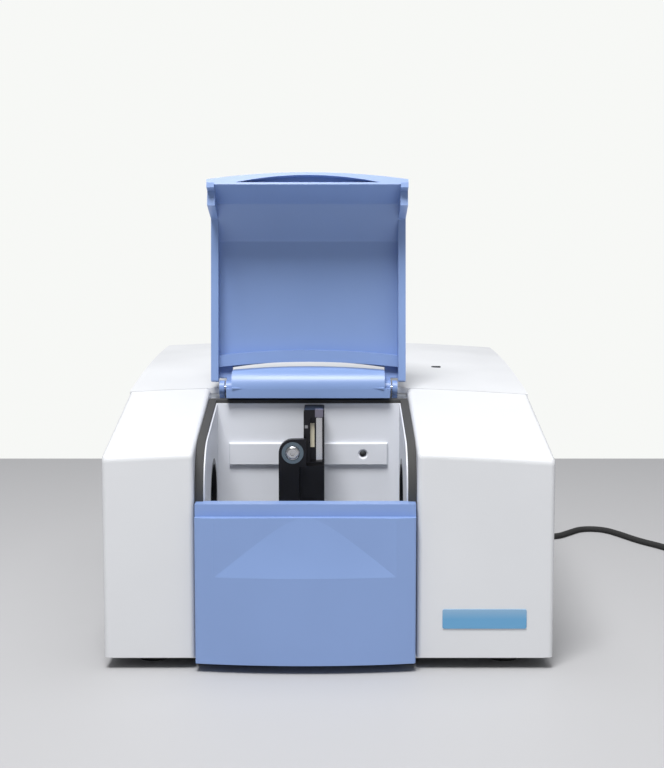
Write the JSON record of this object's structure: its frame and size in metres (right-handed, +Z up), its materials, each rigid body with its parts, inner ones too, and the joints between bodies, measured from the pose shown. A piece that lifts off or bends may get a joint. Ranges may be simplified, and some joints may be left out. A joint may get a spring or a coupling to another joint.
{
  "type": "ftir spectrometer",
  "caption": "Compact bench infrared spectrometer: white base with a pull-off sampling module, open blue lid over a sample compartment with ports, bar and holder.",
  "frame": {"origin": "on the table under the middle of the housing", "axes": "+X to the right seen from the front, +Y to the back, +Z up"},
  "size_m": [0.4092, 0.3863, 0.2452],
  "materials": {
    "white_housing": "fine moulded texture",
    "blue_moulding": "fine moulded texture, satin",
    "tub_grey": "smooth painted",
    "seal_rubber": "matt",
    "steel": "turned",
    "black_anodised": "black anodised",
    "window_salt": "polished",
    "cast_aluminium": "cast and milled",
    "gold_mirror": "polished",
    "black_plastic": "moulded",
    "lead_jacket": "semi gloss",
    "board_green": "solder mask",
    "magnet_steel": "plated",
    "copper": "enamelled wire",
    "desiccant_shell": "moulded"
  },
  "bodies": {
    "base": {"base_connector": "black_plastic", "base_cover": "white_housing", "base_feet": "seal_rubber", "base_tray": "cast_aluminium", "beam_window": "window_salt", "beamsplitter": "window_salt", "beamsplitter_cell": "cast_aluminium", "button_bezel": "black_plastic", "coil_magnet": "magnet_steel", "cord_coil": "lead_jacket", "cord_run": "lead_jacket", "cord_tail": "lead_jacket", "cord_tie": "lead_jacket", "cover_screws": "steel", "desiccant_cartridge": "desiccant_shell", "end_connector": "black_plastic", "fold_mirrors": "gold_mirror", "guide_pins": "steel", "interferometer_block": "cast_aluminium", "ir_source": "magnet_steel", "laser_detector": "black_plastic", "laser_module": "black_plastic", "main_board": "board_green", "network_socket": "black_plastic", "optical_bench": "cast_aluminium", "optics_bulkhead": "cast_aluminium", "power_inlet": "black_plastic", "power_plug": "black_plastic", "rear_panel": "black_anodised", "scan_pivot": "steel", "source_mirror": "gold_mirror", "status_lamp": "black_plastic", "strain_relief": "lead_jacket"},
    "module": {"left_tower_cover": "white_housing", "right_tower_cover": "white_housing", "module_frame": "cast_aluminium", "compartment_tub": "tub_grey", "compartment_seal": "seal_rubber", "front_panel": "blue_moulding", "hinge_brackets": "blue_moulding", "hinge_pins": "steel", "hinge_cover": "blue_moulding", "mounting_bar": "tub_grey", "port_sleeves": "black_anodised", "port_windows": "window_salt", "holder_plate": "black_anodised", "slide_block": "black_anodised", "spring_clips": "steel", "holder_washer": "steel", "holder_screw": "steel", "focusing_mirrors": "gold_mirror", "mirror_mounts": "cast_aluminium", "detector_module": "black_plastic", "module_connector": "black_plastic", "module_feet": "seal_rubber"},
    "lid": {"lid": "blue_moulding"},
    "scan_arm": {"scan_arm": "cast_aluminium", "retro_mirrors": "gold_mirror", "voice_coil": "copper"},
    "power_button": {"power_button": "black_plastic"}
  },
  "joints": [
    {"name": "module_slide", "type": "slide", "parent": "base", "child": "module", "axis": [0, -1, 0], "range_m": [0, 0.034]},
    {"name": "lid_hinge", "type": "hinge", "parent": "module", "child": "lid", "pos_m": [0, -0.0452, 0.1291], "axis": [1, 0, 0], "range_deg": [0, 106]},
    {"name": "scan_swing", "type": "hinge", "parent": "base", "child": "scan_arm", "pos_m": [0.028, 0.102, 0.074], "axis": [0, 0, 1], "range_deg": [-3.5, 3.5], "stiffness_Nm_per_rad": 0.4},
    {"name": "button_press", "type": "slide", "parent": "base", "child": "power_button", "axis": [0, -1, 0], "range_m": [0, 0.0015], "stiffness_N_per_m": 400}
  ]
}
